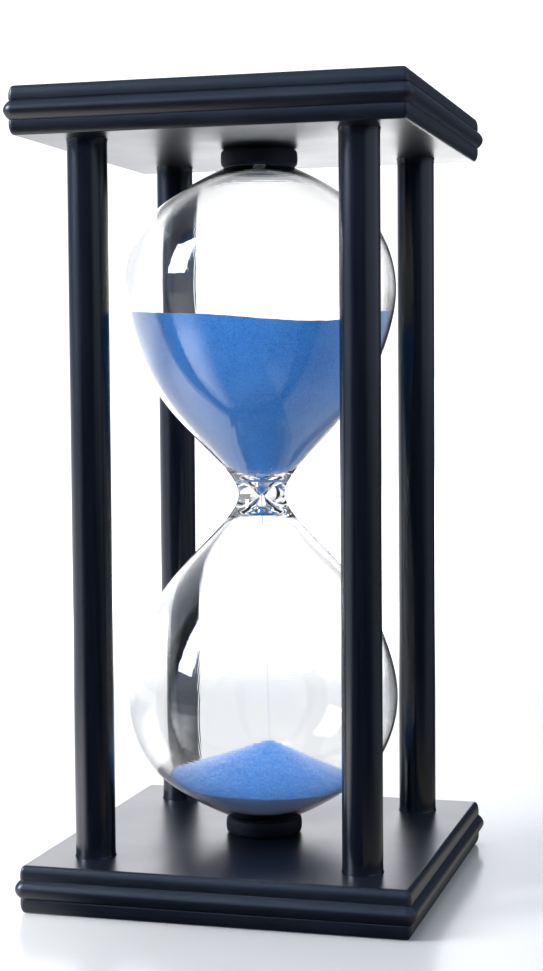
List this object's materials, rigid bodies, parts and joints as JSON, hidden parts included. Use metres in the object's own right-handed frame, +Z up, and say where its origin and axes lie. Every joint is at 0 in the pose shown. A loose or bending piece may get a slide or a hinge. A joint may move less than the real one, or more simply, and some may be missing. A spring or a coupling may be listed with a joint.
{
  "type": "hourglass",
  "caption": "Four-post sand timer: a blown glass double bulb with blue sand held between two square moulded wooden plates.",
  "frame": {"origin": "centre of the underside of the base plate, where the timer stands", "axes": "+Z up along the glass, from the base plate to the top plate; -Y is the front face, and X runs along its edge"},
  "size_m": [0.1016, 0.1016, 0.2032],
  "materials": {
    "lacquered_wood": "satin black lacquer over fine grain",
    "post_lacquer": "gloss black lacquer",
    "screw_steel": "zinc plated",
    "ring_rubber": "soft matte",
    "clear_glass": "clear, fire polished",
    "stopper_rubber": "matte",
    "blue_sand": "fine dyed grains"
  },
  "bodies": {
    "root": {"base_plate": "lacquered_wood", "top_plate": "lacquered_wood", "post_front_left": "post_lacquer", "post_front_right": "post_lacquer", "post_rear_left": "post_lacquer", "post_rear_right": "post_lacquer", "base_screws": "screw_steel", "top_screws": "screw_steel", "lower_ring": "ring_rubber", "upper_ring": "ring_rubber", "glass_bulbs": "clear_glass", "filler_stopper": "stopper_rubber", "upper_sand": "blue_sand", "lower_sand": "blue_sand", "falling_sand": "blue_sand"}
  },
  "joints": []
}
